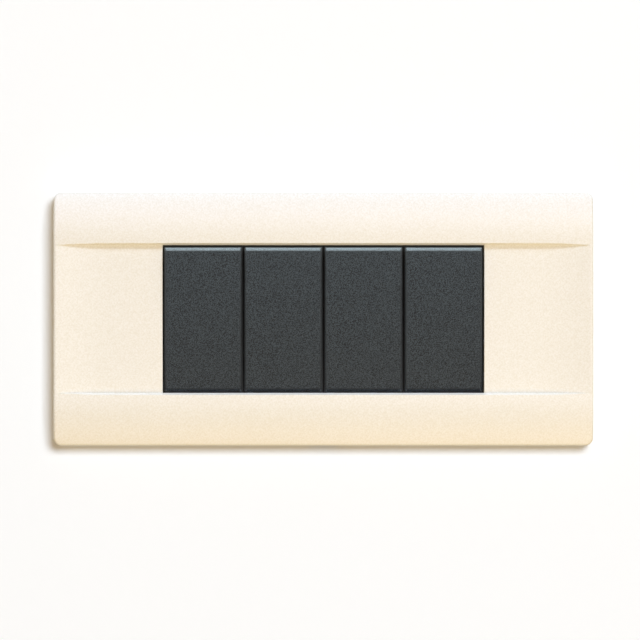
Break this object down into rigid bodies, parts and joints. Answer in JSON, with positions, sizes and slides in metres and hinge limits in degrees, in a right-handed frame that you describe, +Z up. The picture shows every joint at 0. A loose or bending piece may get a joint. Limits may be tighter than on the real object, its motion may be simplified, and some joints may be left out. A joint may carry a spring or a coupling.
{
  "type": "grid switch plate",
  "caption": "Rectangular wall plate with rolled upper and lower bands and a row of rocker keys, each working a one-way switch module behind it.",
  "frame": {"origin": "on the wall plane, midway between the two box screws", "axes": "+X along the plate, +Z up, -Y out of the wall towards the user, +Y into the wall box"},
  "size_m": [0.1516, 0.0342, 0.071],
  "materials": {
    "ivory_plastic": "satin moulded",
    "key_plastic": "fine grain",
    "frame_plastic": "moulded",
    "body_plastic": "moulded",
    "nylon": "moulded",
    "brass": "stamped",
    "silver_contact": "satin",
    "spring_steel": "drawn",
    "zinc_steel": "zinc plated"
  },
  "bodies": {
    "plate_frame": {"cover_plate": "ivory_plastic", "mounting_frame": "frame_plastic", "fixing_screws": "zinc_steel", "switch_body_1": "body_plastic", "switch_base_1": "body_plastic", "common_strip_1": "brass", "line_strip_1": "brass", "line_contact_1": "silver_contact", "clamp_springs_1": "spring_steel", "switch_body_2": "body_plastic", "switch_base_2": "body_plastic", "common_strip_2": "brass", "line_strip_2": "brass", "line_contact_2": "silver_contact", "clamp_springs_2": "spring_steel", "switch_body_3": "body_plastic", "switch_base_3": "body_plastic", "common_strip_3": "brass", "line_strip_3": "brass", "line_contact_3": "silver_contact", "clamp_springs_3": "spring_steel", "switch_body_4": "body_plastic", "switch_base_4": "body_plastic", "common_strip_4": "brass", "line_strip_4": "brass", "line_contact_4": "silver_contact", "clamp_springs_4": "spring_steel"},
    "key_1": {"rocker_key_1": "key_plastic", "key_plunger_1": "nylon", "key_spring_1": "spring_steel"},
    "arm_1": {"contact_arm_1": "brass", "arm_contact_1": "silver_contact"},
    "key_2": {"rocker_key_2": "key_plastic", "key_plunger_2": "nylon", "key_spring_2": "spring_steel"},
    "arm_2": {"contact_arm_2": "brass", "arm_contact_2": "silver_contact"},
    "key_3": {"rocker_key_3": "key_plastic", "key_plunger_3": "nylon", "key_spring_3": "spring_steel"},
    "arm_3": {"contact_arm_3": "brass", "arm_contact_3": "silver_contact"},
    "key_4": {"rocker_key_4": "key_plastic", "key_plunger_4": "nylon", "key_spring_4": "spring_steel"},
    "arm_4": {"contact_arm_4": "brass", "arm_contact_4": "silver_contact"}
  },
  "joints": [
    {"name": "key_1_rock", "type": "hinge", "parent": "plate_frame", "child": "key_1", "pos_m": [-0.03375, -0.005, 0], "axis": [-1, 0, 0], "range_deg": [0, 8]},
    {"name": "arm_1_rock", "type": "hinge", "parent": "plate_frame", "child": "arm_1", "pos_m": [-0.03375, 0.0064, 0], "axis": [-1, 0, 0], "range_deg": [-20, 0]},
    {"name": "key_2_rock", "type": "hinge", "parent": "plate_frame", "child": "key_2", "pos_m": [-0.01125, -0.005, 0], "axis": [-1, 0, 0], "range_deg": [0, 8]},
    {"name": "arm_2_rock", "type": "hinge", "parent": "plate_frame", "child": "arm_2", "pos_m": [-0.01125, 0.0064, 0], "axis": [-1, 0, 0], "range_deg": [-20, 0]},
    {"name": "key_3_rock", "type": "hinge", "parent": "plate_frame", "child": "key_3", "pos_m": [0.01125, -0.005, 0], "axis": [-1, 0, 0], "range_deg": [0, 8]},
    {"name": "arm_3_rock", "type": "hinge", "parent": "plate_frame", "child": "arm_3", "pos_m": [0.01125, 0.0064, 0], "axis": [-1, 0, 0], "range_deg": [-20, 0]},
    {"name": "key_4_rock", "type": "hinge", "parent": "plate_frame", "child": "key_4", "pos_m": [0.03375, -0.005, 0], "axis": [-1, 0, 0], "range_deg": [0, 8]},
    {"name": "arm_4_rock", "type": "hinge", "parent": "plate_frame", "child": "arm_4", "pos_m": [0.03375, 0.0064, 0], "axis": [-1, 0, 0], "range_deg": [-20, 0]}
  ],
  "couplings": [
    {"joint": "arm_1_rock", "follows": "key_1_rock", "ratio": -2.5},
    {"joint": "arm_2_rock", "follows": "key_2_rock", "ratio": -2.5},
    {"joint": "arm_3_rock", "follows": "key_3_rock", "ratio": -2.5},
    {"joint": "arm_4_rock", "follows": "key_4_rock", "ratio": -2.5}
  ]
}
